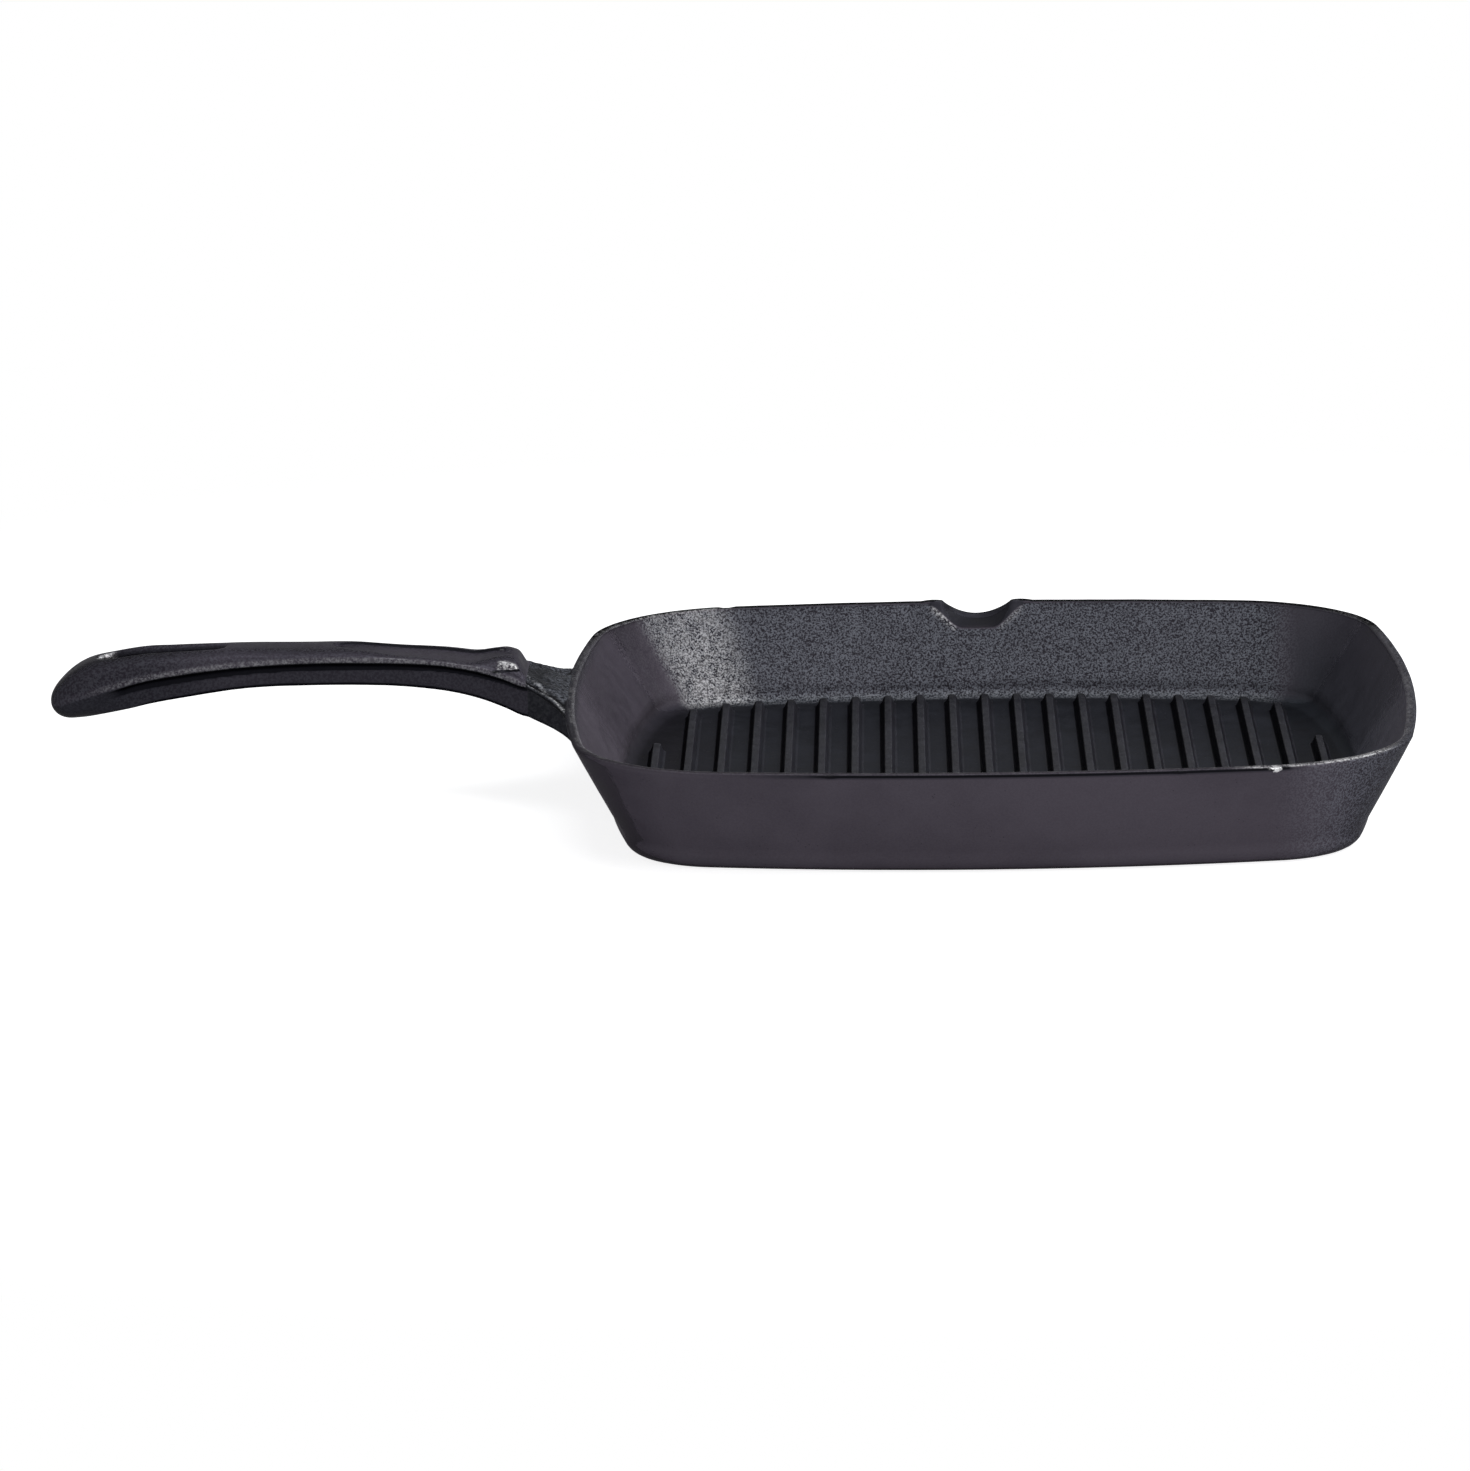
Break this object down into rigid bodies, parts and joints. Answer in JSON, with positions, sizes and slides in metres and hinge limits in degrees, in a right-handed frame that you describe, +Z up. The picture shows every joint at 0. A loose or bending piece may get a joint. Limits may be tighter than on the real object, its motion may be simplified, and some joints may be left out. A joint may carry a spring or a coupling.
{
  "type": "grill pan",
  "caption": "Square cast grill pan with a ribbed floor, sloping walls, one pouring spout and a long arched handle with a hanging slot.",
  "frame": {"origin": "centre of the flat underside of the pan, on the surface that it stands on", "axes": "+Z up; the handle runs along -X; the ribs lie along Y and the pouring spout is in the middle of the +Y side"},
  "size_m": [0.419, 0.2695, 0.0473],
  "materials": {
    "pan": "sand-cast, seasoned black, slightly grainy",
    "rib": "sand-cast, seasoned black, smoother crests",
    "neck": "sand-cast, seasoned black, rough",
    "grip": "sand-cast, seasoned black, hand-smoothed"
  },
  "bodies": {
    "root": {"pan_body": "pan", "rib_01": "rib", "rib_02": "rib", "rib_03": "rib", "rib_04": "rib", "rib_05": "rib", "rib_06": "rib", "rib_07": "rib", "rib_08": "rib", "rib_09": "rib", "rib_10": "rib", "rib_11": "rib", "rib_12": "rib", "rib_13": "rib", "rib_14": "rib", "rib_15": "rib", "rib_16": "rib", "rib_17": "rib", "rib_18": "rib", "rib_19": "rib", "rib_20": "rib", "rib_21": "rib", "handle_neck": "neck", "handle_grip": "grip"}
  },
  "joints": []
}
